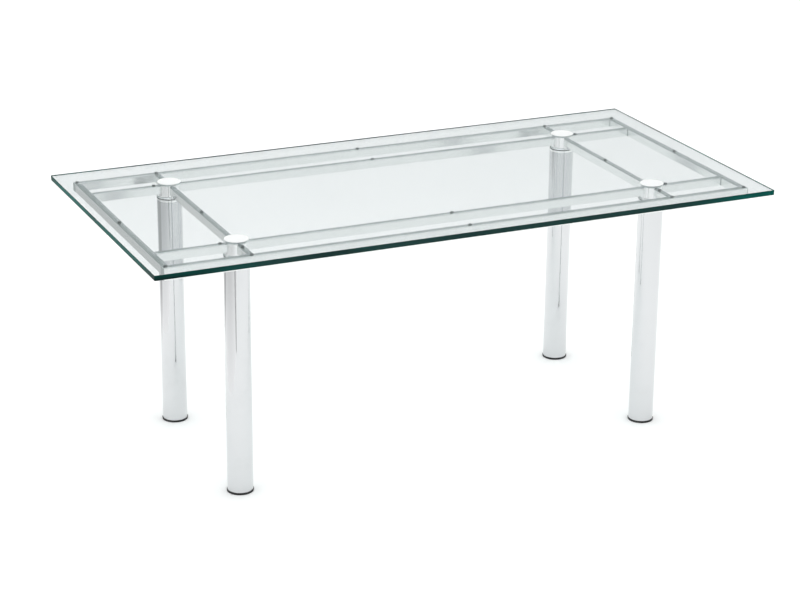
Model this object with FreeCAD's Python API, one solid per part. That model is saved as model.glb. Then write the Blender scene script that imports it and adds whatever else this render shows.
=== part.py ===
import FreeCAD, Part
import math
import os

# Dining table: one clear glass sheet on a steel underframe and four round legs. Each end rail
# pulls out on two arms to carry an extension leaf. Millimetres, +Z up, +X to the right along
# the length, +Y to the back. The origin is on the floor under the centre of the table.

# overall sizes
table_height = 750.0  # floor to the upper face of the glass
glass_length = 1900.0
glass_width = 950.0
glass_thickness = 15.0
glass_corner_radius = 3.0
glass_arris = 1.2  # ground edge, top and bottom

# underframe
end_overhang = 47.5  # end of the glass to the end of the frame
side_overhang = 68.0
rail_height = 25.0
outer_rail_width = 20.0  # side rails and end rails
inner_rail_width = 18.0  # inner rails, crossbars and stubs
rail_wall = 1.5
rail_edge_radius = 2.0
plug_flange = 2.0
plug_depth = 15.0

# pads between the rails and the glass
pad_diameter = 10.0
pad_height = 3.5
pad_from_leg = 47.0  # leg centre to the pads beside it
pad_from_end = 9.0  # end of the frame to the corner pads

# legs
leg_from_end = 252.5  # end of the frame to the leg's centre
leg_from_side = 127.0
leg_diameter = 74.0
leg_wall = 2.0
collar_height = 7.0
collar_groove = 0.8
collar_plug_depth = 33.0
gasket_thickness = 3.0
head_diameter = 64.0
head_floor = 10.5  # metal under the rail openings
head_flare_height = 6.0
head_flare_reach = 4.5
head_flare_land = 1.5  # upright band at the foot of the flare
head_flare_waist = 1.8  # reach left at half the height of the flare
neck_length = 12.0
stud_diameter = 12.0
stud_length = 48.0
stud_roof = 3.4  # metal between the stud and the rail opening

# caps over the holes in the glass
cap_diameter = 68.0
cap_thickness = 2.0
cap_edge = 0.7
seal_thickness = 0.5
bush_wall = 2.0
washer_thickness = 0.5
cap_screw_diameter = 5.0
cap_screw_hole = 5.5
cap_screw_grip = 9.3  # thread in the cap
cap_screw_head = 8.5
cap_screw_head_height = 3.5
cap_screw_socket = 4.0  # across flats
cap_screw_socket_depth = 2.1
cap_screw_bore = 9.0
cap_screw_bore_depth = 3.8
post_wall = 1.5  # least metal beside a screw

# levelling feet
foot_diameter = 77.0
foot_height = 6.0
foot_edge = 1.0
foot_stud_diameter = 10.0
foot_stud_seat = 1.5  # floor to the lower end of the stud
foot_stud_grip = 28.0  # thread left in the leg at full travel
foot_travel = 12.0
bottom_plug_depth = 30.0

# pull-out end frames
arm_travel = 450.0
guide_length = 60.0
guide_flange = 1.5
guide_wall = 1.3
slider_length = 100.0
slider_end_wall = 10.0
arm_screw_diameter = 5.0
arm_screw_length = 16.0
arm_screw_head = 9.5
arm_screw_head_height = 2.75
arm_screw_socket = 3.0  # across flats
arm_screw_socket_depth = 1.6
arm_screw_inset = 6.5  # outer face of the end rail to the screw's axis
end_plug_flange = 1.5

# clearances
fit_gap = 0.1  # pieces that fit inside each other
thread_gap = 0.05
stop_gap = 0.2  # at either end of the pull-out travel
end_rail_gap = 1.0  # end rail to the side rails

# levels
glass_bottom = table_height - glass_thickness
rail_top = glass_bottom - pad_height
rail_bottom = rail_top - rail_height
head_top = glass_bottom - washer_thickness
head_bottom = rail_bottom - head_floor
collar_top = head_bottom - gasket_thickness
tube_top = collar_top - collar_height
tube_bottom = foot_height
neck_bottom = head_bottom - neck_length

# places
frame_length = glass_length - 2 * end_overhang
frame_width = glass_width - 2 * side_overhang
leg_x = frame_length / 2 - leg_from_end
leg_y = frame_width / 2 - leg_from_side
side_rail_y = (frame_width - outer_rail_width) / 2
end_rail_x = (frame_length - outer_rail_width) / 2
rail_middle = (rail_top + rail_bottom) / 2
inner_mouth = frame_length / 2 - outer_rail_width - guide_flange - stop_gap
slider_mouth = inner_mouth - guide_length - stop_gap - arm_travel
slider_back = slider_mouth - slider_length
screw_offset = inner_rail_width / 2 + fit_gap + cap_screw_hole / 2 + post_wall
screw_reach = screw_offset * math.sqrt(2)
spigot_radius = screw_reach + cap_screw_diameter / 2 + post_wall
glass_hole_radius = spigot_radius + bush_wall + 2 * fit_gap
neck_radius = screw_reach - cap_screw_bore / 2 - fit_gap
cavity_width = inner_rail_width - 2 * rail_wall
cavity_height = rail_height - 2 * rail_wall
arm_width = cavity_width - 2 * (guide_wall + 2 * fit_gap)
arm_height = cavity_height - 2 * (guide_wall + 2 * fit_gap)
cap_screw_seat = head_bottom + cap_screw_bore_depth
cap_screw_tip = head_top + cap_screw_grip

corners = {
    "front_left": (-1, -1),
    "front_right": (1, -1),
    "back_left": (-1, 1),
    "back_right": (1, 1),
}


def block(x_size, y_size, z_size, x, y, z):
    # box centred on x, y and z
    corner = FreeCAD.Vector(x - x_size / 2, y - y_size / 2, z - z_size / 2)
    return Part.makeBox(x_size, y_size, z_size, corner)


def rod(radius, low, high, x=0.0, y=0.0):
    return Part.makeCylinder(radius, high - low, FreeCAD.Vector(x, y, low))


def turned(profile):
    # solid turned about Z from a closed list of (radius, height) points
    points = [FreeCAD.Vector(radius, 0, height) for radius, height in profile]
    wire = Part.makePolygon(points + points[:1])
    return Part.Face(wire).revolve(FreeCAD.Vector(0, 0, 0), FreeCAD.Vector(0, 0, 1), 360)


def edges_along(shape, axis):
    # straight edges that run along one axis
    found = []
    for edge in shape.Edges:
        run = edge.Vertexes[-1].Point - edge.Vertexes[0].Point
        if run.Length > 0 and abs(run.normalize().dot(axis)) > 0.999:
            found.append(edge)
    return found


def square_tube(length, width, axis):
    # rectangular tube centred on the origin, lying along X or Y
    if axis.x:
        outer = block(length, width, rail_height, 0, 0, 0)
        inner = block(length, width - 2 * rail_wall, cavity_height, 0, 0, 0)
    else:
        outer = block(width, length, rail_height, 0, 0, 0)
        inner = block(width - 2 * rail_wall, length, cavity_height, 0, 0, 0)
    outer = outer.makeFillet(rail_edge_radius, edges_along(outer, axis))
    return outer.cut(inner)


def rounded_block(length, width, height, radius, axis):
    # block along X or Y with its long edges rounded, centred on the origin
    if axis.x:
        shape = block(length, width, height, 0, 0, 0)
    else:
        shape = block(width, length, height, 0, 0, 0)
    return shape.makeFillet(radius, edges_along(shape, axis))


def moved(shape, x, y, z):
    copy = shape.copy()
    copy.translate(FreeCAD.Vector(x, y, z))
    return copy


def at_legs(shape):
    # the same piece at all four legs
    return [moved(shape, sx * leg_x, sy * leg_y, 0) for sx, sy in corners.values()]


along_x = FreeCAD.Vector(1, 0, 0)
along_y = FreeCAD.Vector(0, 1, 0)
along_z = FreeCAD.Vector(0, 0, 1)


def glass_top():
    sheet = block(glass_length, glass_width, glass_thickness, 0, 0, table_height - glass_thickness / 2)
    sheet = sheet.makeFillet(glass_corner_radius, edges_along(sheet, along_z))
    rims = []
    for edge in sheet.Edges:
        heights = [vertex.Z for vertex in edge.Vertexes]
        if max(heights) - min(heights) < glass_thickness / 2:
            rims.append(edge)
    sheet = sheet.makeChamfer(glass_arris, rims)
    for sx, sy in corners.values():
        sheet = sheet.cut(rod(glass_hole_radius, glass_bottom, table_height, sx * leg_x, sy * leg_y))
    return sheet


def cap_screw_places():
    return [(a * screw_offset, b * screw_offset) for a, b in corners.values()]


def leg_cap():
    # disc over the hole, with a spigot through the glass that the screws pull down
    under = table_height + seal_thickness
    top = under + cap_thickness
    rim = cap_diameter / 2
    cap = turned([
        (0, head_top), (spigot_radius, head_top), (spigot_radius, under), (rim, under),
        (rim, top - cap_edge), (rim - cap_edge, top), (0, top),
    ])
    for x, y in cap_screw_places():
        bore = rod(cap_screw_diameter / 2 + thread_gap, head_top, cap_screw_tip + fit_gap, x, y)
        cap = cap.cut(bore)
    return cap


def glass_bush():
    # plastic sleeve that keeps the spigot and the cap off the glass
    inner = spigot_radius + fit_gap
    outer = inner + bush_wall
    return turned([
        (inner, glass_bottom), (outer, glass_bottom), (outer, table_height),
        (cap_diameter / 2 - cap_edge, table_height),
        (cap_diameter / 2 - cap_edge, table_height + seal_thickness),
        (inner, table_height + seal_thickness),
    ])


def head_washer():
    return rod(head_diameter / 2, head_top, glass_bottom).cut(
        rod(glass_hole_radius, head_top, glass_bottom))


def leg_head():
    # turned head with crossed openings for the rails and a threaded neck below
    radius = head_diameter / 2
    flare = radius + head_flare_reach
    body = turned([
        (0, neck_bottom), (neck_radius, neck_bottom), (neck_radius, head_bottom), (flare, head_bottom),
        (flare, head_bottom + head_flare_land),
        (radius + head_flare_waist, head_bottom + head_flare_height / 2),
        (radius, head_bottom + head_flare_height), (radius, head_top), (0, head_top),
    ])
    opening_width = inner_rail_width + 2 * fit_gap
    opening_height = rail_height + 2 * fit_gap
    across = 2 * flare
    body = body.cut(block(across, opening_width, opening_height, 0, 0, rail_middle))
    body = body.cut(block(opening_width, across, opening_height, 0, 0, rail_middle))
    for x, y in cap_screw_places():
        body = body.cut(rod(cap_screw_hole / 2, head_bottom, head_top, x, y))
        body = body.cut(rod(cap_screw_bore / 2, head_bottom, cap_screw_seat, x, y))
    stud_top = rail_bottom - stud_roof
    return body.cut(rod(stud_diameter / 2 + thread_gap, neck_bottom, stud_top))


def cap_screw():
    low = cap_screw_seat - cap_screw_head_height
    shank = rod(cap_screw_diameter / 2, cap_screw_seat, cap_screw_tip)
    head = rod(cap_screw_head / 2, low, cap_screw_seat)
    socket = hexagon(cap_screw_socket, low, cap_screw_socket_depth)
    return shank.fuse(head).cut(socket).removeSplitter()


def hexagon(across_flats, low, height):
    # upright hexagonal prism on the Z axis
    reach = across_flats / math.sqrt(3)
    turns = [math.radians(60 * step) for step in range(6)]
    points = [FreeCAD.Vector(reach * math.cos(turn), reach * math.sin(turn), low) for turn in turns]
    face = Part.Face(Part.makePolygon(points + points[:1]))
    return face.extrude(FreeCAD.Vector(0, 0, height))


def gasket():
    return rod(leg_diameter / 2, collar_top, head_bottom).cut(
        rod(neck_radius + fit_gap, collar_top, head_bottom))


def leg_collar():
    # bright ring above the tube, with a plug pressed into the tube and a threaded bore
    outer = leg_diameter / 2
    plug = outer - leg_wall
    plug_bottom = tube_top - collar_plug_depth
    recess_bottom = neck_bottom - stop_gap
    bore = stud_diameter / 2 + thread_gap
    return turned([
        (bore, plug_bottom), (plug, plug_bottom), (plug, tube_top), (outer - collar_groove, tube_top),
        (outer - collar_groove, tube_top + collar_groove), (outer, tube_top + 2 * collar_groove),
        (outer, collar_top), (neck_radius + fit_gap, collar_top),
        (neck_radius + fit_gap, recess_bottom), (bore, recess_bottom),
    ])


def leg_tube():
    outer = rod(leg_diameter / 2, tube_bottom, tube_top)
    return outer.cut(rod(leg_diameter / 2 - leg_wall, tube_bottom, tube_top))


def leg_stud():
    top = rail_bottom - stud_roof
    return rod(stud_diameter / 2, top - stud_length, top)


def bottom_plug():
    # insert in the lower end of the tube, threaded for the foot
    return rod(leg_diameter / 2 - leg_wall, tube_bottom, tube_bottom + bottom_plug_depth).cut(
        rod(foot_stud_diameter / 2 + thread_gap, tube_bottom, tube_bottom + bottom_plug_depth))


def foot_disc():
    radius = foot_diameter / 2
    shell = turned([
        (0, 0), (radius - foot_edge, 0), (radius, foot_edge), (radius, foot_height - foot_edge / 2),
        (radius - foot_edge / 2, foot_height), (0, foot_height),
    ])
    return shell.cut(rod(foot_stud_diameter / 2 + thread_gap, foot_stud_seat, foot_height))


def foot_stud():
    return rod(foot_stud_diameter / 2, foot_stud_seat, foot_height + foot_travel + foot_stud_grip)


def side_rail(sy):
    length = frame_length - 2 * plug_flange
    return moved(square_tube(length, outer_rail_width, along_x), 0, sy * side_rail_y, rail_middle)


def tube_plug(flange, along_axis):
    # closing plug whose flange starts at the origin and whose spigot points along +axis
    width = outer_rail_width - 2 * rail_wall - 2 * fit_gap
    height = cavity_height - 2 * fit_gap
    face = rounded_block(flange, outer_rail_width, rail_height, rail_edge_radius, along_axis)
    spigot = rounded_block(plug_depth, width, height, rail_edge_radius / 2, along_axis)
    face.translate(along_axis * (-flange / 2))
    spigot.translate(along_axis * (plug_depth / 2))
    return face.fuse(spigot)


def side_rail_plugs():
    plugs = []
    for sx, sy in corners.values():
        plug = tube_plug(plug_flange, along_x)
        if sx > 0:
            plug.rotate(FreeCAD.Vector(0, 0, 0), along_z, 180)
        plugs.append(moved(plug, sx * (frame_length / 2 - plug_flange), sy * side_rail_y, rail_middle))
    return plugs


def inner_rail(sy):
    return moved(square_tube(2 * inner_mouth, inner_rail_width, along_x), 0, sy * leg_y, rail_middle)


def crossbar(sx):
    length = 2 * leg_y - inner_rail_width
    return moved(square_tube(length, inner_rail_width, along_y), sx * leg_x, 0, rail_middle)


def crossbar_stub(sx, sy):
    near = leg_y + inner_rail_width / 2
    far = frame_width / 2 - outer_rail_width
    bar = square_tube(far - near, inner_rail_width, along_y)
    return moved(bar, sx * leg_x, sy * (near + far) / 2, rail_middle)


def rail_guides():
    # plastic mouthpieces in the inner rails that the arms slide through
    guides = []
    for sx, sy in corners.values():
        sleeve = block(guide_length, cavity_width - 2 * fit_gap, cavity_height - 2 * fit_gap, 0, 0, 0)
        sleeve.translate(FreeCAD.Vector(-guide_length / 2, 0, 0))
        flange = rounded_block(guide_flange, inner_rail_width, rail_height, rail_edge_radius, along_x)
        flange.translate(FreeCAD.Vector(guide_flange / 2, 0, 0))
        guide = sleeve.fuse(flange)
        reach = 2 * (guide_length + guide_flange)
        guide = guide.cut(block(reach, arm_width + 2 * fit_gap, arm_height + 2 * fit_gap, 0, 0, 0))
        if sx < 0:
            guide.rotate(FreeCAD.Vector(0, 0, 0), along_z, 180)
        guides.append(moved(guide, sx * inner_mouth, sy * leg_y, rail_middle))
    return guides


def end_rail(sx):
    # closed-in rail between the side rails, slotted on its inner face for the two arms
    length = frame_width - 2 * outer_rail_width - 2 * end_rail_gap - 2 * end_plug_flange
    rail = square_tube(length, outer_rail_width, along_y)
    for sy in (-1, 1):
        slot = block(outer_rail_width, arm_width + 2 * fit_gap, arm_height + 2 * fit_gap,
                     -sx * outer_rail_width / 2, sy * leg_y, 0)
        rail = rail.cut(slot)
        hole_x = sx * (outer_rail_width / 2 - arm_screw_inset)
        hole = rod(arm_screw_diameter / 2 + fit_gap, -rail_height / 2, 0, hole_x, sy * leg_y)
        rail = rail.cut(hole)
    return moved(rail, sx * end_rail_x, 0, rail_middle)


def end_rail_plugs(sx):
    tip = frame_width / 2 - outer_rail_width - end_rail_gap - end_plug_flange
    front = tube_plug(end_plug_flange, along_y)
    back = tube_plug(end_plug_flange, along_y)
    back.rotate(FreeCAD.Vector(0, 0, 0), along_z, 180)
    return [moved(front, sx * end_rail_x, -tip, rail_middle), moved(back, sx * end_rail_x, tip, rail_middle)]


def arm_screw_x(sx):
    return sx * (frame_length / 2 - arm_screw_inset)


def extension_arm(sx, sy):
    outer_end = frame_length / 2 - rail_wall
    inner_end = slider_back + slider_end_wall
    length = outer_end - inner_end
    arm = block(length, arm_width, arm_height, sx * (outer_end + inner_end) / 2, sy * leg_y, rail_middle)
    thread_top = rail_bottom + arm_screw_length
    thread = rod(arm_screw_diameter / 2 + thread_gap, rail_bottom, thread_top, arm_screw_x(sx), sy * leg_y)
    return arm.cut(thread)


def arm_screws(sx):
    screws = []
    for sy in (-1, 1):
        x = arm_screw_x(sx)
        top = rail_bottom + arm_screw_length
        shank = rod(arm_screw_diameter / 2, rail_bottom, top, x, sy * leg_y)
        low = rail_bottom - arm_screw_head_height
        head = rod(arm_screw_head / 2, low, rail_bottom, x, sy * leg_y)
        rim_level = rail_bottom - arm_screw_head_height / 2
        lower_rim = [edge for edge in head.Edges if edge.BoundBox.ZMax < rim_level]
        head = head.makeFillet(arm_screw_head_height / 2, lower_rim)
        socket = moved(hexagon(arm_screw_socket, low, arm_screw_socket_depth), x, sy * leg_y, 0)
        screws.append(shank.fuse(head).cut(socket).removeSplitter())
    return screws


def arm_sliders(sx):
    # plastic blocks on the inner ends of the arms, which meet the guides at full travel
    sliders = []
    for sy in (-1, 1):
        slider = block(slider_length, cavity_width - 2 * fit_gap, cavity_height - 2 * fit_gap,
                       sx * (slider_mouth + slider_back) / 2, sy * leg_y, rail_middle)
        pocket_end = slider_back + slider_end_wall
        pocket = block(slider_mouth - pocket_end, arm_width, arm_height,
                       sx * (slider_mouth + pocket_end) / 2, sy * leg_y, rail_middle)
        sliders.append(slider.cut(pocket))
    return sliders


def pad_at(x, y):
    return rod(pad_diameter / 2, rail_top, glass_bottom, x, y)


def frame_pads():
    pads = [pad_at(0, sy * side_rail_y) for sy in (-1, 1)]
    pads += [pad_at(0, sy * leg_y) for sy in (-1, 1)]
    pads += [pad_at(sx * leg_x, 0) for sx in (-1, 1)]
    for sx, sy in corners.values():
        pads.append(pad_at(sx * (frame_length / 2 - pad_from_end), sy * side_rail_y))
        pads.append(pad_at(sx * leg_x, sy * side_rail_y))
        pads.append(pad_at(sx * (leg_x + pad_from_leg), sy * leg_y))
        pads.append(pad_at(sx * leg_x, sy * (leg_y + pad_from_leg)))
    return pads


def end_pad(sx):
    # rides on the end rail, just clear of the glass
    return rod(pad_diameter / 2, rail_top, glass_bottom - stop_gap, sx * end_rail_x, 0)


def all_parts():
    parts = {"glass_top": glass_top()}
    parts["glass_bushes"] = at_legs(glass_bush())
    parts["head_washers"] = at_legs(head_washer())
    parts["gasket_rings"] = at_legs(gasket())
    parts["leg_studs"] = at_legs(leg_stud())
    parts["leg_bottom_plugs"] = at_legs(bottom_plug())
    screws = [moved(cap_screw(), x, y, 0) for x, y in cap_screw_places()]
    parts["cap_screws"] = [copy for screw in screws for copy in at_legs(screw)]
    single = {
        "leg_cap": leg_cap(), "leg_head": leg_head(), "leg_collar": leg_collar(),
        "leg_tube": leg_tube(), "foot": foot_disc(), "foot_stud": foot_stud(),
    }
    for corner, (sx, sy) in corners.items():
        for name, shape in single.items():
            parts[corner + "_" + name] = moved(shape, sx * leg_x, sy * leg_y, 0)
        parts[corner + "_crossbar_stub"] = crossbar_stub(sx, sy)
        parts[corner + "_extension_arm"] = extension_arm(sx, sy)
    for side, sy in (("front", -1), ("back", 1)):
        parts[side + "_side_rail"] = side_rail(sy)
        parts[side + "_inner_rail"] = inner_rail(sy)
    for side, sx in (("left", -1), ("right", 1)):
        parts[side + "_crossbar"] = crossbar(sx)
        parts[side + "_end_rail"] = end_rail(sx)
        parts[side + "_end_rail_plugs"] = end_rail_plugs(sx)
        parts[side + "_arm_screws"] = arm_screws(sx)
        parts[side + "_arm_sliders"] = arm_sliders(sx)
        parts[side + "_end_pad"] = end_pad(sx)
    parts["side_rail_plugs"] = side_rail_plugs()
    parts["rail_guides"] = rail_guides()
    parts["frame_pads"] = frame_pads()
    return parts


os.makedirs("parts", exist_ok=True)
for name, shape in all_parts().items():
    if isinstance(shape, list):
        shape = Part.makeCompound(shape)
    shape.exportStep("parts/" + name + ".step")
    print(name, len(shape.Solids), round(shape.Volume / 1000, 1), "cm3", shape.isValid())
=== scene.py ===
import math
import bpy
from mathutils import Matrix, Quaternion, Vector


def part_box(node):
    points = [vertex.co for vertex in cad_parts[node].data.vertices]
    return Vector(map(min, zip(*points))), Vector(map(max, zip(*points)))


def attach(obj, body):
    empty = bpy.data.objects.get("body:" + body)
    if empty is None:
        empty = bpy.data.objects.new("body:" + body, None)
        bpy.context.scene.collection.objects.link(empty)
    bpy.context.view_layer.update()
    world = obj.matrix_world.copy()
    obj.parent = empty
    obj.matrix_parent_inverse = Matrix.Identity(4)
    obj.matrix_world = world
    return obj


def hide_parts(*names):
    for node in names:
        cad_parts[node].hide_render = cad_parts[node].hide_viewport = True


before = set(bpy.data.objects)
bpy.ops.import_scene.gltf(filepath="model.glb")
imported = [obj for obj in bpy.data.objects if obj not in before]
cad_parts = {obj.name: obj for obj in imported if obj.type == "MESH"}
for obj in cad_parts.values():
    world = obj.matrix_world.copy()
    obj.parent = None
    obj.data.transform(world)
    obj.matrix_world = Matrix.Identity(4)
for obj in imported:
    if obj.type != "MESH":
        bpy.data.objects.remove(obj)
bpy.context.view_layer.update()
scene = bpy.context.scene
corners = {"front_left": (-1, -1), "front_right": (1, -1), "back_left": (-1, 1), "back_right": (1, 1)}
print("frame loaded:", len(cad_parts), "nodes")


cameraSetup = {
    "azimuth": -24.51, "elevation": 20.42, "distance": 6.959, "roll": 0.56,
    "target": (-0.023, 0.018, 0.380), "lens": 104.74, "sensor": 36.0, "farthest": 200.0,
}
studio = {
    "floorSize": 60.0, "floorTone": 0.87, "floorRoughness": 0.9,
    "horizon": 1.05, "wall": (0.29, 0.325, 0.32), "roof": 2.25,  # the surroundings by height
    "horizonTo": 0.06, "wallFrom": 0.16, "wallTo": 0.58, "roofFrom": 0.80,  # and where each starts or ends
    "shownRoof": 0.9,  # the roof as the metal and the glass show it
    "softboxPower": 14.0, "softboxSize": 3.0, "softboxPlace": (0, 0.4, 3.6),
}
cards = {
    # grey cards lying on the floor, seen in reflections alone: centre, size, turn, tones across it
    "endCard": ((-1.95, 1.95), (2.0, 2.3), 0.0, (0.56, 0.56, 0.60, 1.15)),
    "sideCard": ((-2.6, -0.9), (2.4, 3.4), 0.0, (0.84, 0.84, 1.18)),
    "wedge": {"near": 1.12, "far": 1.95, "nearWidth": 0.08, "farWidth": 0.52, "tone": 0.45, "turn": -11.0},
    "height": 0.002,
}


def centreOf(node):
    low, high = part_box(node)
    return (low + high) / 2


def aimedCamera():
    azimuth = math.radians(cameraSetup["azimuth"])
    elevation = math.radians(cameraSetup["elevation"])
    flat = math.cos(elevation)
    back = Vector((math.sin(azimuth) * flat, -math.cos(azimuth) * flat, math.sin(elevation)))
    data = bpy.data.cameras.new("tableCamera")
    data.sensor_width = cameraSetup["sensor"]
    data.lens = cameraSetup["lens"]
    data.clip_end = cameraSetup["farthest"]
    camera = bpy.data.objects.new("tableCamera", data)
    scene.collection.objects.link(camera)
    camera.location = Vector(cameraSetup["target"]) + back * cameraSetup["distance"]
    camera.rotation_mode = "QUATERNION"
    roll = Quaternion((0, 0, 1), math.radians(cameraSetup["roll"]))
    camera.rotation_quaternion = back.to_track_quat("Z", "Y") @ roll
    scene.camera = camera


def rampOf(tree, stops):
    # colour ramp from (place, brightness or colour) pairs
    ramp = tree.nodes.new("ShaderNodeValToRGB")
    elements = ramp.color_ramp.elements
    for place, tone in stops[2:]:
        elements.new(place)
    for element, (place, tone) in zip(elements, stops):
        element.position = place
        colour = tone if isinstance(tone, tuple) else (tone, tone, tone)
        element.color = (*colour, 1.0)
    return ramp


def studioWorld():
    # plain white to the eye; otherwise a bright roof, a grey wall and a pale horizon
    world = bpy.data.worlds.new("studio")
    scene.world = world
    world.use_nodes = True
    tree = world.node_tree
    tree.nodes.clear()
    place = tree.nodes.new("ShaderNodeTexCoord")
    split = tree.nodes.new("ShaderNodeSeparateXYZ")
    top = studio["roof"]
    wall = tuple(part / top for part in studio["wall"])
    horizon = studio["horizon"] / top
    low = [(0.0, horizon), (studio["horizonTo"], horizon)]
    low += [(studio["wallFrom"], wall), (studio["wallTo"], wall)]
    ramp = rampOf(tree, low + [(studio["roofFrom"], 1.0), (1.0, 1.0)])
    shown = studio["shownRoof"] / top
    shownRamp = rampOf(tree, low + [(studio["roofFrom"], shown), (1.0, shown)])
    lit = tree.nodes.new("ShaderNodeBackground")
    lit.inputs["Strength"].default_value = top
    plain = tree.nodes.new("ShaderNodeBackground")
    plain.inputs["Color"].default_value = (1, 1, 1, 1)
    rays = tree.nodes.new("ShaderNodeLightPath")
    mix = tree.nodes.new("ShaderNodeMixShader")
    out = tree.nodes.new("ShaderNodeOutputWorld")
    tree.links.new(place.outputs["Generated"], split.inputs[0])
    tree.links.new(split.outputs["Z"], ramp.inputs[0])
    tree.links.new(split.outputs["Z"], shownRamp.inputs[0])
    tone = mixColour(tree, rays.outputs["Is Glossy Ray"], ramp.outputs[0], shownRamp.outputs[0])
    tree.links.new(tone, lit.inputs["Color"])
    tree.links.new(rays.outputs["Is Camera Ray"], mix.inputs[0])
    tree.links.new(lit.outputs[0], mix.inputs[1])
    tree.links.new(plain.outputs[0], mix.inputs[2])
    tree.links.new(mix.outputs[0], out.inputs[0])


def studioFloor():
    bpy.ops.mesh.primitive_plane_add(size=studio["floorSize"], location=(0, 0, 0))
    floor = bpy.context.active_object
    floor.name = "studioFloor"
    material, tree, shader = newMaterial("floorPaper")
    tone = studio["floorTone"]
    shader.inputs["Base Color"].default_value = (tone, tone, tone, 1)
    shader.inputs["Roughness"].default_value = studio["floorRoughness"]
    shader.inputs["Specular IOR Level"].default_value = 0.0
    floor.data.materials.append(material)


def greyCard(name, centre, size, turn, tones):
    # shines in these tones from one side to the other and shows in reflections alone
    place = (*centre, cards["height"])
    bpy.ops.mesh.primitive_plane_add(size=1.0, location=place, rotation=(0, 0, turn))
    card = bpy.context.active_object
    card.name = name
    card.scale = (*size, 1.0)
    material = bpy.data.materials.new(name)
    material.use_nodes = True
    tree = material.node_tree
    tree.nodes.clear()
    spot = tree.nodes.new("ShaderNodeTexCoord")
    split = tree.nodes.new("ShaderNodeSeparateXYZ")
    along = spreadNode(tree, split.outputs[0], -0.5, 0.5, 0.0, 1.0)
    ramp = rampOf(tree, [(step / (len(tones) - 1), tone) for step, tone in enumerate(tones)])
    glow = tree.nodes.new("ShaderNodeEmission")
    out = tree.nodes.new("ShaderNodeOutputMaterial")
    tree.links.new(spot.outputs["Object"], split.inputs[0])
    tree.links.new(along, ramp.inputs[0])
    tree.links.new(ramp.outputs[0], glow.inputs["Color"])
    tree.links.new(glow.outputs[0], out.inputs["Surface"])
    card.data.materials.append(material)
    for kind in ("camera", "diffuse", "transmission", "shadow", "volume_scatter"):
        setattr(card, "visible_" + kind, False)
    return card


def greyCards():
    greyCard("endCard", *cards["endCard"])
    greyCard("sideCard", *cards["sideCard"])
    wedge = cards["wedge"]
    middle = (wedge["near"] + wedge["far"]) / 2
    length = wedge["far"] - wedge["near"]
    place = centreOf("front_left_leg_tube")
    turn = math.radians(cameraSetup["azimuth"] + wedge["turn"])
    centre = (place.x + math.sin(turn) * middle, place.y - math.cos(turn) * middle)
    card = greyCard("wedge", centre, (1.0, length), turn, (wedge["tone"],) * 2)
    for vertex in card.data.vertices:
        width = wedge["nearWidth"] if vertex.co.y > 0 else wedge["farWidth"]
        vertex.co.x = math.copysign(width / 2, vertex.co.x)


def softbox():
    data = bpy.data.lights.new("softbox", "AREA")
    data.energy = studio["softboxPower"]
    data.size = studio["softboxSize"]
    light = bpy.data.objects.new("softbox", data)
    light.location = studio["softboxPlace"]
    light.visible_camera = False
    scene.collection.objects.link(light)


def newMaterial(name):
    material = bpy.data.materials.new(name)
    material.use_nodes = True
    tree = material.node_tree
    return material, tree, tree.nodes["Principled BSDF"]


def newGroup(name, inputs, outputs):
    group = bpy.data.node_groups.new(name, "ShaderNodeTree")
    for label, kind, value in inputs:
        made = group.interface.new_socket(label, in_out="INPUT", socket_type=kind)
        if value is not None:
            made.default_value = value
    for label, kind in outputs:
        group.interface.new_socket(label, in_out="OUTPUT", socket_type=kind)
    return group, group.nodes.new("NodeGroupInput"), group.nodes.new("NodeGroupOutput")


def feed(tree, socket, value):
    # gives a socket its value: a number, a colour, or another node's output
    if isinstance(value, tuple):
        socket.default_value = (*value, 1.0)
    elif isinstance(value, (int, float)):
        socket.default_value = value
    else:
        tree.links.new(value, socket)


def mathNode(tree, operation, *values):
    made = tree.nodes.new("ShaderNodeMath")
    made.operation = operation
    for socket, value in zip(made.inputs, values):
        feed(tree, socket, value)
    return made.outputs[0]


def noiseNode(tree, vector, scale, detail, roughness):
    made = tree.nodes.new("ShaderNodeTexNoise")
    made.inputs["Detail"].default_value = detail
    made.inputs["Roughness"].default_value = roughness
    feed(tree, made.inputs["Scale"], scale)
    feed(tree, made.inputs["Vector"], vector)
    return made.outputs["Fac"]


def spreadNode(tree, value, fromLow, fromHigh, low, high):
    made = tree.nodes.new("ShaderNodeMapRange")
    labels = ("Value", "From Min", "From Max", "To Min", "To Max")
    for label, number in zip(labels, (value, fromLow, fromHigh, low, high)):
        feed(tree, made.inputs[label], number)
    return made.outputs["Result"]


def mixColour(tree, factor, first, second):
    made = tree.nodes.new("ShaderNodeMix")
    made.data_type = "RGBA"
    for slot, value in ((0, factor), (6, first), (7, second)):  # the sockets used by colours
        feed(tree, made.inputs[slot], value)
    return made.outputs[2]


noiseSpread = (0.3, 0.7)  # most of a noise lies between these
# noises are scale, detail and roughness, or the last two; ranges are from and to, then what they become
markLook = {
    "broad": (4.0, 0.6), "fine": (2.0, 0.5), "finer": 9.0,
    "patches": (0.48, 0.72, 0.0, 1.0), "specks": (0.35, 0.75, 0.3, 1.0),
}
lineLook = {"coarse": (180.0, 4.0, 0.65), "fine": (900.0, 2.0, 0.6), "spread": (0.35, 0.65)}
ringLook = {"wobble": (60.0, 2.0, 0.5), "drift": 0.0006, "cut": (1.0, 3.0, 0.6)}


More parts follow.
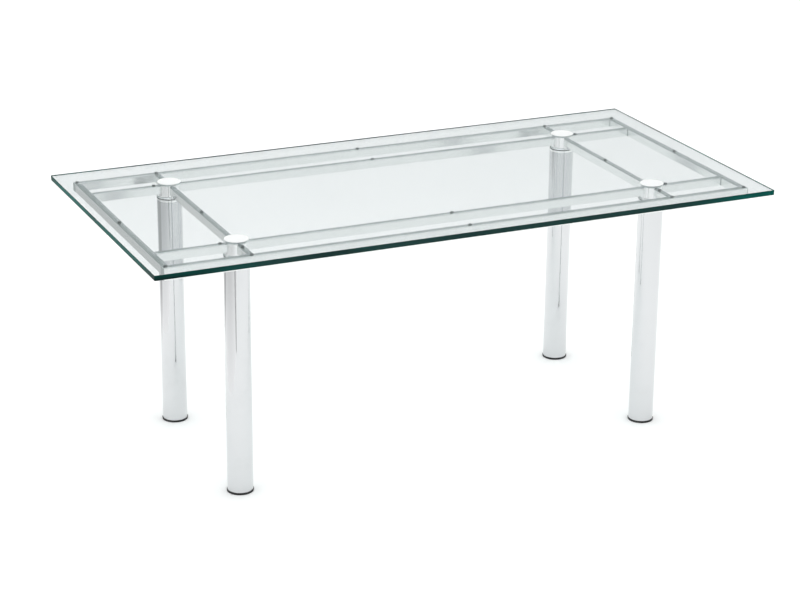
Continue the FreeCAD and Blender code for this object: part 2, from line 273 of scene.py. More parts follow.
def handlingGroup():
    # soft cloudy marks from cleaning and hands: a mask and a roughness
    group, given, out = newGroup(
        "handlingMarks",
        [("Vector", "NodeSocketVector", None), ("Scale", "NodeSocketFloat", 6.0),
         ("Clean", "NodeSocketFloat", 0.05), ("Marked", "NodeSocketFloat", 0.12)],
        [("Mask", "NodeSocketFloat"), ("Roughness", "NodeSocketFloat")])
    broad = noiseNode(group, given.outputs["Vector"], given.outputs["Scale"], *markLook["broad"])
    finer = mathNode(group, "MULTIPLY", given.outputs["Scale"], markLook["finer"])
    fine = noiseNode(group, given.outputs["Vector"], finer, *markLook["fine"])
    patches = spreadNode(group, broad, *markLook["patches"])
    specks = spreadNode(group, fine, *markLook["specks"])
    mask = mathNode(group, "MULTIPLY", patches, specks)
    rough = spreadNode(group, mask, 0.0, 1.0, given.outputs["Clean"], given.outputs["Marked"])
    group.links.new(mask, out.inputs["Mask"])
    group.links.new(rough, out.inputs["Roughness"])
    return group


def brushedGroup():
    # long fine lines along the bar: the mapping given outside stretches them
    group, given, out = newGroup(
        "brushedLines",
        [("Vector", "NodeSocketVector", None), ("Low", "NodeSocketFloat", 0.15),
         ("High", "NodeSocketFloat", 0.3)],
        [("Lines", "NodeSocketFloat"), ("Roughness", "NodeSocketFloat")])
    coarse = noiseNode(group, given.outputs["Vector"], *lineLook["coarse"])
    fine = noiseNode(group, given.outputs["Vector"], *lineLook["fine"])
    lines = mathNode(group, "MULTIPLY", mathNode(group, "ADD", coarse, fine), 0.5)
    rough = spreadNode(group, lines, *lineLook["spread"], given.outputs["Low"], given.outputs["High"])
    group.links.new(lines, out.inputs["Lines"])
    group.links.new(rough, out.inputs["Roughness"])
    return group


def ringsGroup():
    # fine turning marks: rings by the distance from the piece's own axis
    group, given, out = newGroup(
        "turningRings",
        [("Vector", "NodeSocketVector", None), ("Rings per metre", "NodeSocketFloat", 1500.0)],
        [("Rings", "NodeSocketFloat")])
    length = group.nodes.new("ShaderNodeVectorMath")
    length.operation = "LENGTH"
    group.links.new(given.outputs["Vector"], length.inputs[0])
    wobble = noiseNode(group, given.outputs["Vector"], *ringLook["wobble"])
    drift = mathNode(group, "MULTIPLY", wobble, ringLook["drift"])
    radius = mathNode(group, "ADD", length.outputs["Value"], drift)
    steps = mathNode(group, "MULTIPLY", radius, given.outputs["Rings per metre"])
    join = group.nodes.new("ShaderNodeCombineXYZ")
    group.links.new(steps, join.inputs[0])
    rings = noiseNode(group, join.outputs[0], *ringLook["cut"])
    group.links.new(rings, out.inputs["Rings"])
    return group


groups = {}


def placed(tree, name, vector, **values):
    made = tree.nodes.new("ShaderNodeGroup")
    made.node_tree = groups[name]
    tree.links.new(vector, made.inputs["Vector"])
    for label, value in values.items():
        made.inputs[label.replace("_", " ")].default_value = value
    return made


def objectPlace(tree, stretch=(1, 1, 1)):
    place = tree.nodes.new("ShaderNodeTexCoord")
    mapping = tree.nodes.new("ShaderNodeMapping")
    mapping.inputs["Scale"].default_value = stretch
    tree.links.new(place.outputs["Object"], mapping.inputs["Vector"])
    return mapping.outputs["Vector"]


def addBump(tree, shader, height, strength, distance):
    bump = tree.nodes.new("ShaderNodeBump")
    bump.inputs["Strength"].default_value = strength
    bump.inputs["Distance"].default_value = distance
    tree.links.new(height, bump.inputs["Height"])
    tree.links.new(bump.outputs["Normal"], shader.inputs["Normal"])


def dulled(tone, share):
    # the same colour, darker, or lighter when the share is over one
    return tuple(share * part for part in tone)


# in the finishes, marks is the scale of the handling marks and marked is their roughness;
# dull is the share of the tone that is left in the worn or cut places
glassFinish = {
    "tint": (0.935, 0.957, 0.967), "shade": (0.97, 0.985, 0.985), "ior": 1.52,
    "marks": 2.2, "marked": 0.012, "dull": 0.985,
}


def clearGlass():
    material, tree, shader = newMaterial("clearGlass")
    place = objectPlace(tree)
    marks = placed(
        tree, "handlingMarks", place, Scale=glassFinish["marks"], Clean=0.0, Marked=glassFinish["marked"])
    tint = glassFinish["tint"]
    tone = mixColour(tree, marks.outputs["Mask"], tint, dulled(tint, glassFinish["dull"]))
    tree.links.new(tone, shader.inputs["Base Color"])
    tree.links.new(marks.outputs["Roughness"], shader.inputs["Roughness"])
    shader.inputs["IOR"].default_value = glassFinish["ior"]
    shader.inputs["Transmission Weight"].default_value = 1.0
    rays = tree.nodes.new("ShaderNodeLightPath")
    lamps = mathNode(tree, "MAXIMUM", rays.outputs["Is Shadow Ray"], rays.outputs["Is Diffuse Ray"])
    through = tree.nodes.new("ShaderNodeBsdfTransparent")
    through.inputs["Color"].default_value = (*glassFinish["shade"], 1)
    mix = tree.nodes.new("ShaderNodeMixShader")
    tree.links.new(lamps, mix.inputs[0])
    tree.links.new(shader.outputs[0], mix.inputs[1])
    tree.links.new(through.outputs[0], mix.inputs[2])
    tree.links.new(mix.outputs[0], tree.nodes["Material Output"].inputs["Surface"])
    return material


edgeFinish = {
    # painted light on the glass edge: the greens are the glass's tint darkened into painted shade, darkest
    # towards the ends, and the teal is a painted highlight
    "deep": (0.007, 0.026, 0.024), "green": (0.013, 0.046, 0.042), "light": (0.0002, 0.120, 0.098),
    "paintedEndShade": (0.0002, 0.014, 0.0125),
    "endFrom": 0.62, "endFull": 0.86,  # metres from the middle, where the ends turn more teal
    "streaks": (7.0, 5.0, 0.62), "streakStretch": (1, 1, 60),
    "bands": (2.3, 2.0, 0.5), "bandStretch": (1, 1, 4), "greener": (0.35, 0.65, 0.0, 1.0),
    "glint": (0.56, 0.74, 0.0, 0.35), "endGlint": (0.42, 0.62, 0.05, 0.8),
    "roughness": 0.06, "worn": 0.14, "shine": 0.05,
}


def glassEdge():
    # the sheet seen end on: the glass's own green darkened to near black as painted shade, with long streaks
    # of painted teal highlight, all in place of the light refracted along the sheet
    material, tree, shader = newMaterial("glassEdge")
    streaks = noiseNode(tree, objectPlace(tree, edgeFinish["streakStretch"]), *edgeFinish["streaks"])
    bands = noiseNode(tree, objectPlace(tree, edgeFinish["bandStretch"]), *edgeFinish["bands"])
    split = tree.nodes.new("ShaderNodeSeparateXYZ")
    tree.links.new(objectPlace(tree), split.inputs[0])
    fromMiddle = mathNode(tree, "ABSOLUTE", split.outputs[0])
    nearEnd = spreadNode(tree, fromMiddle, edgeFinish["endFrom"], edgeFinish["endFull"], 0.0, 1.0)
    # painted shade: slow bands between near black and dark green along the edge
    greener = spreadNode(tree, bands, *edgeFinish["greener"])
    middle = mixColour(tree, greener, edgeFinish["deep"], edgeFinish["green"])
    # painted shade: darker still towards the sheet's ends
    base = mixColour(tree, nearEnd, middle, edgeFinish["paintedEndShade"])
    # painted highlights: teal glints from the streaks, more of them towards the ends
    glint = spreadNode(tree, streaks, *edgeFinish["glint"])
    endGlint = mathNode(tree, "MULTIPLY", nearEnd, spreadNode(tree, bands, *edgeFinish["endGlint"]))
    lit = mathNode(tree, "MAXIMUM", glint, endGlint)
    tree.links.new(mixColour(tree, lit, base, edgeFinish["light"]), shader.inputs["Base Color"])
    rough = spreadNode(tree, streaks, *noiseSpread, edgeFinish["roughness"], edgeFinish["worn"])
    tree.links.new(rough, shader.inputs["Roughness"])
    shader.inputs["IOR"].default_value = glassFinish["ior"]
    shader.inputs["Specular IOR Level"].default_value = edgeFinish["shine"]
    return material


plated = {"dull": 0.94, "waves": (55.0, 2.0, 0.4), "depth": 0.001}


def polishedMetal(name, tone, clean, marked, scale=7.0, ripple=0.004):
    # bright plate: a mirror with faint hand marks and a trace of ripple
    material, tree, shader = newMaterial(name)
    place = objectPlace(tree)
    marks = placed(tree, "handlingMarks", place, Scale=scale, Clean=clean, Marked=marked)
    dirty = mixColour(tree, marks.outputs["Mask"], tone, dulled(tone, plated["dull"]))
    tree.links.new(dirty, shader.inputs["Base Color"])
    tree.links.new(marks.outputs["Roughness"], shader.inputs["Roughness"])
    shader.inputs["Metallic"].default_value = 1.0
    addBump(tree, shader, noiseNode(tree, place, *plated["waves"]), ripple, plated["depth"])
    return material


turned = {"marks": 25.0, "marked": 0.08, "dull": 0.93, "bump": 0.06, "depth": 0.0005}


def turnedMetal(name, tone, low, high, metal):
    # satin turned face with fine rings about the piece's axis
    material, tree, shader = newMaterial(name)
    own = tree.nodes.new("ShaderNodeUVMap")
    own.uv_map = "turned"
    rings = placed(tree, "turningRings", own.outputs[0])
    marks = placed(
        tree, "handlingMarks", objectPlace(tree), Scale=turned["marks"], Clean=0.0, Marked=turned["marked"])
    rough = spreadNode(tree, rings.outputs["Rings"], *noiseSpread, low, high)
    tree.links.new(mathNode(tree, "ADD", rough, marks.outputs["Roughness"]), shader.inputs["Roughness"])
    cut = mixColour(tree, rings.outputs["Rings"], tone, dulled(tone, turned["dull"]))
    tree.links.new(cut, shader.inputs["Base Color"])
    shader.inputs["Metallic"].default_value = metal
    addBump(tree, shader, rings.outputs["Rings"], turned["bump"], turned["depth"])
    return material


brushed = {
    "stretch": {"X": (0.012, 1, 1), "Y": (1, 0.012, 1)},
    "marks": 5.0, "marked": 0.07, "dull": 0.93, "bump": 0.05, "depth": 0.0004,
}


def brushedMetal(name, tone, along, low, high):
    # satin bar, its lines along X or Y
    material, tree, shader = newMaterial(name)
    lines = placed(
        tree, "brushedLines", objectPlace(tree, brushed["stretch"][along]), Low=low, High=high)
    marks = placed(
        tree, "handlingMarks", objectPlace(tree), Scale=brushed["marks"], Clean=0.0, Marked=brushed["marked"])
    dull = dulled(tone, brushed["dull"])
    worn = mixColour(tree, marks.outputs["Mask"], tone, dull)
    tree.links.new(mixColour(tree, lines.outputs["Lines"], worn, dull), shader.inputs["Base Color"])
    rough = mathNode(tree, "ADD", lines.outputs["Roughness"], marks.outputs["Roughness"])
    tree.links.new(rough, shader.inputs["Roughness"])
    shader.inputs["Metallic"].default_value = 1.0
    addBump(tree, shader, lines.outputs["Lines"], brushed["bump"], brushed["depth"])
    return material


moulded = {"pits": (2.0, 0.5), "marks": 30.0, "rougher": 0.15, "bump": 0.15, "depth": 0.0002}


def mouldedPlastic(name, tone, roughness, grain=900.0, lighter=1.5):
    material, tree, shader = newMaterial(name)
    place = objectPlace(tree)
    pits = noiseNode(tree, place, grain, *moulded["pits"])
    marks = placed(
        tree, "handlingMarks", place,
        Scale=moulded["marks"], Clean=roughness, Marked=roughness + moulded["rougher"])
    worn = mixColour(tree, marks.outputs["Mask"], tone, dulled(tone, lighter))
    tree.links.new(worn, shader.inputs["Base Color"])
    tree.links.new(marks.outputs["Roughness"], shader.inputs["Roughness"])
    addBump(tree, shader, pits, moulded["bump"], moulded["depth"])
    return material


railTone = (0.89, 0.91, 0.905)
groups["handlingMarks"] = handlingGroup()
groups["brushedLines"] = brushedGroup()
groups["turningRings"] = ringsGroup()
finish = {
    "glass": clearGlass(),
    "glassEdge": glassEdge(),
    "chrome": polishedMetal("legChrome", (0.67, 0.68, 0.69), clean=0.035, marked=0.09),
    "headChrome": polishedMetal("headChrome", (0.98, 0.985, 0.985), clean=0.05, marked=0.12, scale=20.0),
    "cap": turnedMetal("capSatin", (0.95, 0.95, 0.95), low=0.40, high=0.52, metal=0.35),
    "railX": brushedMetal("railSatinLengthwise", railTone, "X", low=0.13, high=0.22),
    "railY": brushedMetal("railSatinCrosswise", railTone, "Y", low=0.13, high=0.22),
    "arm": brushedMetal("armDrawnSteel", (0.66, 0.68, 0.69), "X", low=0.2, high=0.34),
    "zinc": polishedMetal("zincPlate", (0.62, 0.64, 0.66), clean=0.25, marked=0.4, scale=60.0, ripple=0.1),
    "black": mouldedPlastic("footBlack", (0.012, 0.012, 0.013), roughness=0.42),
    "grey": mouldedPlastic("plugGrey", (0.42, 0.44, 0.44), roughness=0.40, lighter=1.1),
    "milky": mouldedPlastic("bushMilky", (0.45, 0.50, 0.50), roughness=0.30, grain=500.0, lighter=1.1),
    "rubber": mouldedPlastic("padRubber", (0.03, 0.036, 0.036), roughness=0.62, grain=1400.0, lighter=1.8),
}
print("materials made:", len(finish))


mergeReach = 2e-6  # points closer than this are one
same = 1e-5  # places this close count as the same
straight = 0.99  # a direction this near an axis lies along it


def selectNothing():
    bpy.ops.object.select_all(action="DESELECT")


def inEdit(piece):
    bpy.context.view_layer.objects.active = piece
    bpy.ops.object.mode_set(mode="EDIT")


def backOut():
    bpy.ops.object.mode_set(mode="OBJECT")


def pickFaces(piece, test):
    # picks the faces that pass the test and goes into edit mode
    backOut()
    bpy.context.tool_settings.mesh_select_mode = (False, False, True)
    for part in (piece.data.vertices, piece.data.edges):
        part.foreach_set("select", [False] * len(part))
    for face in piece.data.polygons:
        face.select = test(face)
    inEdit(piece)


def pickEdges(piece, test):
    backOut()
    bpy.context.tool_settings.mesh_select_mode = (False, True, False)
    verts = piece.data.vertices
    verts.foreach_set("select", [False] * len(verts))
    piece.data.polygons.foreach_set("select", [False] * len(piece.data.polygons))
    for edge in piece.data.edges:
        first, second = (verts[index].co for index in edge.vertices)
        edge.select = test(first, second)
        if edge.select:
            for index in edge.vertices:
                verts[index].select = True
    inEdit(piece)


def softenEdges(piece, test, width, segments=3):
    pickEdges(piece, test)
    bpy.ops.mesh.bevel(offset=width, segments=segments, affect="EDGES")
    backOut()


def alongAxis(axis):
    # test for edges that run along this axis
    return lambda first, second: abs((first - second).normalized()[axis]) > straight


def named(piece, name):
    piece.name = name
    piece.data.name = name
    return piece


def finished(piece, angle=32.0):
    # doubles merged, normals out, smooth except across real corners
    inEdit(piece)
    bpy.ops.mesh.select_all(action="SELECT")
    bpy.ops.mesh.remove_doubles(threshold=mergeReach)
    bpy.ops.mesh.normals_make_consistent(inside=False)
    backOut()
    selectNothing()
    piece.select_set(True)
    bpy.context.view_layer.objects.active = piece
    bpy.ops.object.shade_smooth_by_angle(angle=math.radians(angle))
    applied(piece, "WEIGHTED_NORMAL", weight=100, keep_sharp=True)
    selectNothing()
    return piece


def applied(piece, kind, **settings):
    modifier = piece.modifiers.new("step", kind)
    for label, value in settings.items():
        setattr(modifier, label, value)
    bpy.context.view_layer.objects.active = piece
    bpy.ops.object.modifier_apply(modifier="step")


def cutAway(piece, cutter):
    applied(piece, "BOOLEAN", operation="DIFFERENCE", solver="EXACT", object=cutter)
    bpy.data.objects.remove(cutter)


def blockPiece(name, low, high):
    selectNothing()
    low, high = Vector(low), Vector(high)
    bpy.ops.mesh.primitive_cube_add(size=1.0, location=(low + high) / 2)
    piece = named(bpy.context.active_object, name)
    piece.scale = high - low
    bpy.ops.object.transform_apply(location=True, rotation=False, scale=True)
    return piece


def boreOut(piece, radius, low, high, x, y, sides=32):
    # cuts an upright round hole
    selectNothing()
    bpy.ops.mesh.primitive_cylinder_add(
        vertices=sides, radius=radius, depth=high - low, location=(x, y, (low + high) / 2))
    drum = bpy.context.active_object
    bpy.ops.object.transform_apply(location=True, rotation=False, scale=True)
    cutAway(piece, drum)


def turnedPiece(name, profile, x, y, hollow=False, sides=96):
    # drawn ring by ring from its first circle; a hollow one comes back round to it
    selectNothing()
    radius, height = profile[0]
    fill = "NOTHING" if hollow else "NGON"
    place = (x, y, height)
    bpy.ops.mesh.primitive_circle_add(vertices=sides, radius=radius, fill_type=fill, location=place)
    piece = named(bpy.context.active_object, name)
    bpy.ops.object.transform_apply(location=True, rotation=False, scale=True)
    inEdit(piece)
    bpy.ops.mesh.select_all(action="SELECT")
    for nextRadius, nextHeight in profile[1:]:
        bpy.ops.mesh.extrude_region_move(TRANSFORM_OT_translate={"value": (0, 0, nextHeight - height)})
        size = nextRadius / radius
        bpy.ops.transform.resize(value=(size, size, 1), center_override=(x, y, nextHeight))
        radius, height = nextRadius, nextHeight
    if hollow:
        bpy.ops.mesh.select_all(action="SELECT")
        bpy.ops.mesh.remove_doubles(threshold=mergeReach)
    backOut()
    return piece


def softenRims(piece, x, y, rims, width, segments=3):
    # rounds the ring edges at these (radius, height) places
    def near(point, radius, height):
        out = math.hypot(point.x - x, point.y - y)
        return abs(point.z - height) < same and abs(out - radius) < same

    def onRim(first, second):
        return any(near(first, *rim) and near(second, *rim) for rim in rims)
    softenEdges(piece, onRim, width, segments)


def ringMap(piece, x, y):
    # the piece's own map: metres from its axis
    layer = piece.data.uv_layers.new(name="turned")
    for loop in piece.data.loops:
        place = piece.data.vertices[loop.vertex_index].co
        layer.data[loop.index].uv = (place.x - x, place.y - y)


def copyOf(piece, name, shift):
    made = piece.copy()
    made.data = piece.data.copy()
    made.data.transform(Matrix.Translation(shift))
    scene.collection.objects.link(made)
    return named(made, name)


def joined(pieces, name):
    selectNothing()
    for piece in pieces:
        piece.select_set(True)
    bpy.context.view_layer.objects.active = pieces[0]
    bpy.ops.object.join()
    selectNothing()
    return named(pieces[0], name)


def fitted(piece, material, slot, body, *nodes):
    # gives the piece its finish and its body, and hides the nodes that it stands for
    if not piece.data.materials:
        piece.data.materials.append(finish[material])
    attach(piece, body)
    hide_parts(*nodes)


aimedCamera()
studioWorld()
studioFloor()
greyCards()
softbox()


legAt = {corner: centreOf(corner + "_leg_tube") for corner in corners}
firstLeg = legAt["front_left"]
hairline = 0.00005  # keeps touching faces apart beside the clear glass


def atEachLeg(piece, name, material, slot, body="table"):
    # the first leg's piece, then one copy for each of the other three; {} in body is the corner
    for corner in corners:
        node = corner + "_" + name
        if corner == "front_left":
            made = named(piece, node)
        else:
            made = copyOf(piece, node, legAt[corner] - firstLeg)
        if material == "cap":
            ringMap(made, legAt[corner].x, legAt[corner].y)
        fitted(made, material, slot, body.format(corner), node)


def oneAtEachLeg(piece, name, material, slot):
    # four copies joined, for a node that holds all four
    copies = [piece] + [copyOf(piece, name, legAt[corner] - firstLeg) for corner in list(corners)[1:]]
    fitted(joined(copies, name), material, slot, "table", name)


past = 0.001  # how far a cutter runs past the face that it cuts
sheet = {
    "cornerRadius": 0.003, "cornerSteps": 5, "arris": 0.0013, "arrisSteps": 3,
    "holeRadius": 0.02508, "smoothTo": 25.0,
    "edgeBand": 0.004, "edgeTilt": 0.75,  # steep faces this near the outline are the green edge
}


def glassSheet():
    low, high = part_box("glass_top")
    piece = blockPiece("glass_sheet", low, high)
    softenEdges(piece, alongAxis(2), sheet["cornerRadius"], sheet["cornerSteps"])
    softenEdges(piece, lambda a, b: abs(a.z - b.z) < same, sheet["arris"], sheet["arrisSteps"])
    for place in legAt.values():
        boreOut(piece, sheet["holeRadius"], low.z - past, high.z + past, place.x, place.y, sides=96)
    piece.data.materials.append(finish["glass"])
    piece.data.materials.append(finish["glassEdge"])
    for face in piece.data.polygons:
        place = face.center
        outer = abs(place.x) > high.x - sheet["edgeBand"] or abs(place.y) > high.y - sheet["edgeBand"]
        if outer and abs(face.normal.z) < sheet["edgeTilt"]:
            face.material_index = 1
    finished(piece, sheet["smoothTo"])
    fitted(piece, "glass", "clear_glass", "table", "glass_top")


glassSheet()
print("glass sheet made")


cap = {"rim": 0.0007, "underRim": 0.0002, "spigotRadius": 0.02288, "seal": 0.0005, "tipGap": 0.0001}
head = {
    "flareReach": 0.0045, "flareHeight": 0.006, "flareLand": 0.2, "flareSteps": 7, "topEdge": 0.0005,
    "openingGap": 0.0001, "openingReach": 0.06, "neckRadius": 0.01428, "neckLength": 0.012,
    "smoothTo": 25.0,
}
collar = {
    "groove": 0.0008, "grooveLip": 1.6, "grooveEdge": 0.0003, "edge": 0.0006,
    "neckGap": 0.0001, "recessGap": 0.0002, "smoothTo": 28.0,
}
thread = {
    # screws through the head into the cap, the stud through head and leg, the foot's own stud
    "screwOffset": 0.01335, "screwHole": 0.00275, "screwTap": 0.00255, "screwBore": 0.0045,
    "screwHead": 0.0035, "stud": 0.00605, "foot": 0.00505, "arm": 0.00255, "armHole": 0.0026,
}
tube = {"wall": 0.002, "edge": 0.0004}
foot = {"edge": 0.0011, "groove": 0.0005, "recess": 0.0004, "recessRim": 0.006, "recessSlope": 0.001}


def atEachScrew(piece, radius, low, high):
    for across, along in corners.values():
        x = firstLeg.x + across * thread["screwOffset"]
        y = firstLeg.y + along * thread["screwOffset"]
        boreOut(piece, radius, low, high, x, y)


def legCaps():
    low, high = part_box("front_left_leg_cap")
    x, y = firstLeg.x, firstLeg.y
    radius = (high.x - low.x) / 2
    under = cadGlassTop + cap["seal"]
    piece = turnedPiece("cap", [
        (cap["spigotRadius"], low.z), (cap["spigotRadius"], under), (radius, under),
        (radius, high.z),
    ], x, y, sides=128)
    softenRims(piece, x, y, [(radius, high.z)], cap["rim"], segments=4)
    softenRims(piece, x, y, [(radius, under)], cap["underRim"], segments=2)
    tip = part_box("cap_screws")[1].z + cap["tipGap"]
    atEachScrew(piece, thread["screwTap"], low.z - past, tip)
    finished(piece)
    atEachLeg(piece, "leg_cap", "cap", "chrome")


def headOpenings(x, y):
    # two crossing blocks the size of the rails, with their clearance
    gap = Vector((1, 1, 1)) * head["openingGap"]
    reach = head["openingReach"]
    cutters = []
    for node, axis, middle in (("front_inner_rail", 0, x), ("left_crossbar", 1, y)):
        low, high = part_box(node)
        low, high = low - gap, high + gap
        low[axis], high[axis] = middle - reach, middle + reach
        cutters.append(blockPiece("opening", low, high))
    return cutters


def legHeads():
    low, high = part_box("front_left_leg_head")
    x, y = firstLeg.x, firstLeg.y
    flare = (high.x - low.x) / 2
    radius = flare - head["flareReach"]
    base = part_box("gasket_rings")[1].z
    foot = base - head["neckLength"]
    profile = [(head["neckRadius"], foot), (head["neckRadius"], base), (flare, base)]
    land = head["flareLand"]  # share of the flare's height that is upright
    for step in range(head["flareSteps"] + 1):
        turn = step / head["flareSteps"] * math.pi / 2
        reach = head["flareReach"] * (1 - math.sin(turn))
        rise = head["flareHeight"] * (land + (1 - land) * (1 - math.cos(turn)))
        profile.append((radius + reach, base + rise))
    profile.append((radius, high.z))
    piece = turnedPiece("head", profile, x, y)
    softenRims(piece, x, y, [(radius, high.z)], head["topEdge"])
    for cutter in headOpenings(x, y):
        cutAway(piece, cutter)
    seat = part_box("cap_screws")[0].z + thread["screwHead"]
    atEachScrew(piece, thread["screwBore"], base - past, seat)
    atEachScrew(piece, thread["screwHole"], base - 2 * past, high.z + past)
    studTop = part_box("leg_studs")[1].z
    boreOut(piece, thread["stud"], foot - past, studTop, x, y, sides=48)
    finished(piece, head["smoothTo"])
    atEachLeg(piece, "leg_head", "headChrome", "chrome")


def legCollars():
    low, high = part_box("front_left_leg_collar")
    x, y = firstLeg.x, firstLeg.y
    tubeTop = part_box("front_left_leg_tube")[1].z
    radius = (high.x - low.x) / 2
    groove = collar["groove"]
    lip = tubeTop + groove * collar["grooveLip"]
    plug = radius - tube["wall"]
    recess = head["neckRadius"] + collar["neckGap"]
    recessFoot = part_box("front_left_leg_head")[0].z - collar["recessGap"]
    piece = turnedPiece("collar", [
        (plug, low.z), (plug, tubeTop), (radius - groove, tubeTop), (radius - groove, tubeTop + groove),
        (radius, lip), (radius, high.z), (recess, high.z), (recess, recessFoot),
        (thread["stud"], recessFoot), (thread["stud"], low.z), (plug, low.z),
    ], x, y, hollow=True)
    softenRims(piece, x, y, [(radius, high.z)], collar["edge"])
    softenRims(piece, x, y, [(radius, lip)], collar["grooveEdge"], segments=2)
    finished(piece, collar["smoothTo"])
    atEachLeg(piece, "leg_collar", "headChrome", "chrome")


def legTubes():
    low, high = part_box("front_left_leg_tube")
    x, y = firstLeg.x, firstLeg.y
    outer = (high.x - low.x) / 2
    inner = outer - tube["wall"]
    piece = turnedPiece("tube", [
        (outer, low.z), (outer, high.z), (inner, high.z), (inner, low.z), (outer, low.z),
    ], x, y, hollow=True, sides=128)
    softenRims(piece, x, y, [(outer, low.z), (outer, high.z)], tube["edge"])
    finished(piece)
    atEachLeg(piece, "leg_tube", "chrome", "chrome")


def footDiscs():
    low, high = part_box("front_left_foot")
    x, y = firstLeg.x, firstLeg.y
    radius = (high.x - low.x) / 2
    sole = radius - foot["recessRim"]
    piece = turnedPiece("foot", [
        (sole - foot["recessSlope"], low.z + foot["recess"]), (sole, low.z), (radius, low.z),
        (radius, high.z),
    ], x, y)
    softenRims(piece, x, y, [(radius, low.z)], foot["edge"], segments=4)
    softenRims(piece, x, y, [(radius, high.z)], foot["groove"])
    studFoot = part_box("front_left_foot_stud")[0].z
    boreOut(piece, thread["foot"], studFoot, high.z + past, x, y, sides=48)
    finished(piece)
    atEachLeg(piece, "foot", "black", "black_plastic", "{}_levelling_foot")


def ringPiece(node, inner, outer, low, high, edge):
    # flat washer or sleeve about the first leg, its outer rims eased
    x, y = firstLeg.x, firstLeg.y
    piece = turnedPiece(node, [
        (outer, low), (outer, high), (inner, high), (inner, low), (outer, low),
    ], x, y, hollow=True)
    softenRims(piece, x, y, [(outer, low), (outer, high)], edge, segments=2)
    return finished(piece)


rings = {"gasketBore": 0.01438, "gasketEdge": 0.0004, "washerEdge": 0.0001, "bushFlange": 0.0333}


def gasketRings():
    low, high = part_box("gasket_rings")
    outer = high.x - legAt["front_right"].x
    piece = ringPiece("gasket", rings["gasketBore"], outer, low.z, high.z, rings["gasketEdge"])
    oneAtEachLeg(piece, "gasket_rings", "rubber", "rubber")


def headWashers():
    low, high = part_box("head_washers")
    outer = high.x - legAt["front_right"].x
    piece = ringPiece("washer", sheet["holeRadius"], outer, low.z, high.z - hairline, rings["washerEdge"])
    oneAtEachLeg(piece, "head_washers", "milky", "clear_plastic")


def glassBushes():
    low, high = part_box("glass_bushes")
    x, y = firstLeg.x, firstLeg.y
    inner = cap["spigotRadius"] + hairline
    outer = sheet["holeRadius"] - hairline
    step = cadGlassTop + hairline
    piece = turnedPiece("bush", [
        (outer, low.z), (outer, step), (rings["bushFlange"], step), (rings["bushFlange"], high.z),
        (inner, high.z), (inner, low.z), (outer, low.z),
    ], x, y, hollow=True)
    finished(piece)
    oneAtEachLeg(piece, "glass_bushes", "milky", "clear_plastic")


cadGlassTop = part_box("glass_top")[1].z
legCaps()
legHeads()
legCollars()
legTubes()
footDiscs()
gasketRings()
headWashers()
glassBushes()
print("legs made")


rail = {"outerWidth": 0.020, "wall": 0.0015, "edge": 0.002, "edgeSteps": 5}
arm = {"edge": 0.0006, "slotGap": 0.0001, "slotReach": 0.004}


def hollowBar(name, node, axis):
    # rectangular tube: a block with its ends taken off, long edges rounded, then given its wall
    piece = blockPiece(name, *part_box(node))
    pickFaces(piece, lambda face: abs(face.normal[axis]) > straight)
    bpy.ops.mesh.delete(type="FACE")
    softenEdges(piece, alongAxis(axis), rail["edge"], rail["edgeSteps"])
    applied(piece, "SOLIDIFY", thickness=rail["wall"], offset=-1.0)
    return piece


def fixedRails():
    for side in ("front", "back"):
        for kind in ("_side_rail", "_inner_rail"):
            piece = finished(hollowBar(side + kind, side + kind, 0))
            fitted(piece, "railX", "satin_steel", "table", side + kind)
    for side in ("left", "right"):
        piece = finished(hollowBar(side + "_crossbar", side + "_crossbar", 1))
        fitted(piece, "railY", "satin_steel", "table", side + "_crossbar")
    for corner in corners:
        node = corner + "_crossbar_stub"
        fitted(finished(hollowBar(node, node, 1)), "railY", "satin_steel", "table", node)


def endFrames():
    gap = Vector((0, 1, 1)) * arm["slotGap"]
    reach = arm["slotReach"]
    for side, inward in (("left", 1), ("right", -1)):
        body = side + "_end_frame"
        node = side + "_end_rail"
        piece = hollowBar(node, node, 1)
        screwX = centreOf(side + "_arm_screws").x
        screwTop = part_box(side + "_arm_screws")[1].z
        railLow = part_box(node)[0].z
        face = centreOf(node).x + inward * rail["outerWidth"] / 2
        for row in ("front", "back"):
            armNode = row + "_" + side + "_extension_arm"
            low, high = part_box(armNode)
            slotLow, slotHigh = low - gap, high + gap
            slotLow.x, slotHigh.x = face - reach, face + reach
            cutAway(piece, blockPiece("slot", slotLow, slotHigh))
            place = (screwX, (low.y + high.y) / 2)
            boreOut(piece, thread["armHole"], railLow - past, low.z, *place)
            bar = blockPiece(armNode, low, high)
            softenEdges(bar, alongAxis(0), arm["edge"])
            boreOut(bar, thread["arm"], railLow, screwTop, *place)
            fitted(finished(bar), "arm", "bright_steel", body, armNode)
        fitted(finished(piece), "railY", "satin_steel", body, node)


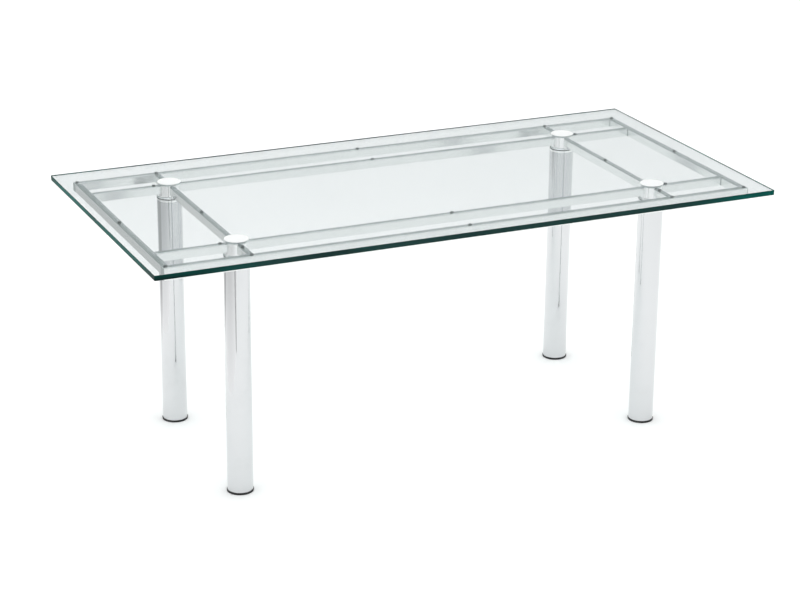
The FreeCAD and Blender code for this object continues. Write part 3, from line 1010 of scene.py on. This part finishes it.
pad = {
    "edge": 0.0008, "sides": 32, "smoothTo": 40.0,
    "apart": 0.02,  # points of two pads are at least this far apart
}


def padAt(name, place, radius, low, high):
    piece = turnedPiece(name, [(radius, low), (radius, high)], place.x, place.y, sides=pad["sides"])
    softenRims(piece, place.x, place.y, [(radius, low), (radius, high)], pad["edge"])
    return finished(piece, pad["smoothTo"])


def islandCentres(node):
    # centre of each separate solid in a node, from the points that lie close together
    found = []
    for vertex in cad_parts[node].data.vertices:
        point = vertex.co.to_2d()
        near = [group for group in found if (group[0] - point).length < pad["apart"]]
        if near:
            near[0].append(point)
        else:
            found.append([point])
    centres = []
    for group in found:
        across, along = zip(*group)
        centres.append(Vector(((min(across) + max(across)) / 2, (min(along) + max(along)) / 2, 0)))
    return centres


def rubberPads():
    low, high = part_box("left_end_pad")
    radius = (high.x - low.x) / 2
    for side in ("left", "right"):
        node = side + "_end_pad"
        piece = padAt(node, centreOf(node), radius, low.z, high.z)
        fitted(piece, "rubber", "rubber", side + "_end_frame", node)
    low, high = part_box("frame_pads")
    places = islandCentres("frame_pads")
    first = padAt("pad", places[0], radius, low.z, high.z - hairline)
    pads = [first] + [copyOf(first, "pad", place - places[0]) for place in places[1:]]
    fitted(joined(pads, "frame_pads"), "rubber", "rubber", "table", "frame_pads")
    print("pads:", len(pads))


fixedRails()
endFrames()
rubberPads()
print("underframe made")


smallParts = {
    "cap_screws": "zinc", "leg_studs": "zinc", "leg_bottom_plugs": "black", "side_rail_plugs": "grey",
    "rail_guides": "grey",
}
for side in ("left", "right"):
    smallParts[side + "_end_rail_plugs"] = "grey"
    smallParts[side + "_arm_sliders"] = "grey"
    smallParts[side + "_arm_screws"] = "zinc"
for corner in corners:
    smallParts[corner + "_foot_stud"] = "zinc"
for node, material in smallParts.items():
    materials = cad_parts[node].data.materials
    materials.clear()
    materials.append(finish[material])

scene.view_settings.view_transform = "Standard"
scene.cycles.max_bounces = 24
scene.cycles.transmission_bounces = 16
scene.cycles.glossy_bounces = 12
scene.cycles.transparent_max_bounces = 16
